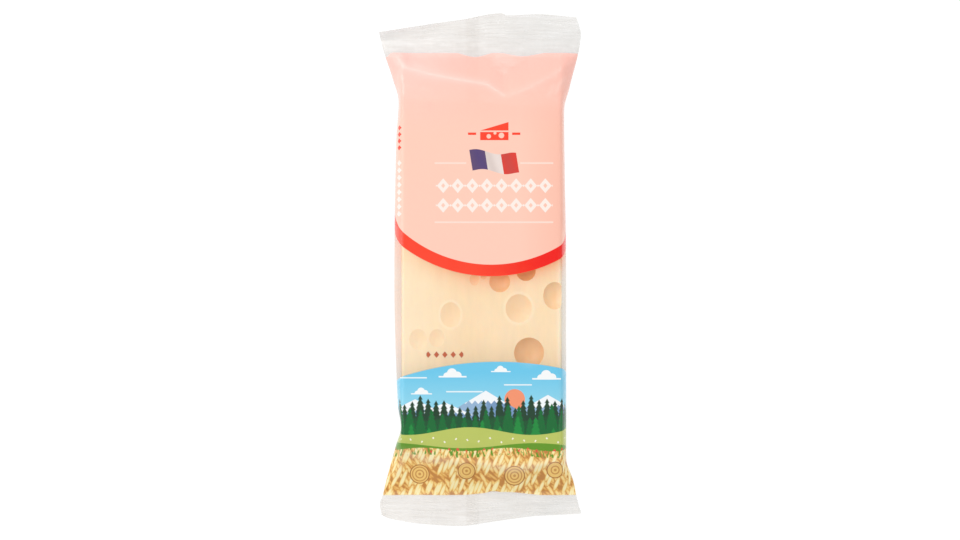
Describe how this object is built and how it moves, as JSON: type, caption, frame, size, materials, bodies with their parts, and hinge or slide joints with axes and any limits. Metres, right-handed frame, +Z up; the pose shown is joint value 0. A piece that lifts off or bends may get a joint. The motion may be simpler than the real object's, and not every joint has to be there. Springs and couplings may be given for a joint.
{
  "type": "packed cheese slab",
  "caption": "Flat slab of pale holed cheese sealed in a partly printed clear film sleeve with a crimped seal across each end, lying on its back.",
  "frame": {"origin": "on the table, under the middle of the pack's outline", "axes": "+Z up, out of the printed front; +Y along the pack, towards the head of its print; +X to the right as the front is seen from above"},
  "size_m": [0.0948, 0.2414, 0.0203],
  "materials": {
    "film": "clear glossy film, printed pink, red, blue, green and gold around a clear window",
    "cheese": "smooth waxy cut cheese, slightly translucent"
  },
  "bodies": {
    "root": {"cheese_pack": "film"}
  },
  "joints": []
}
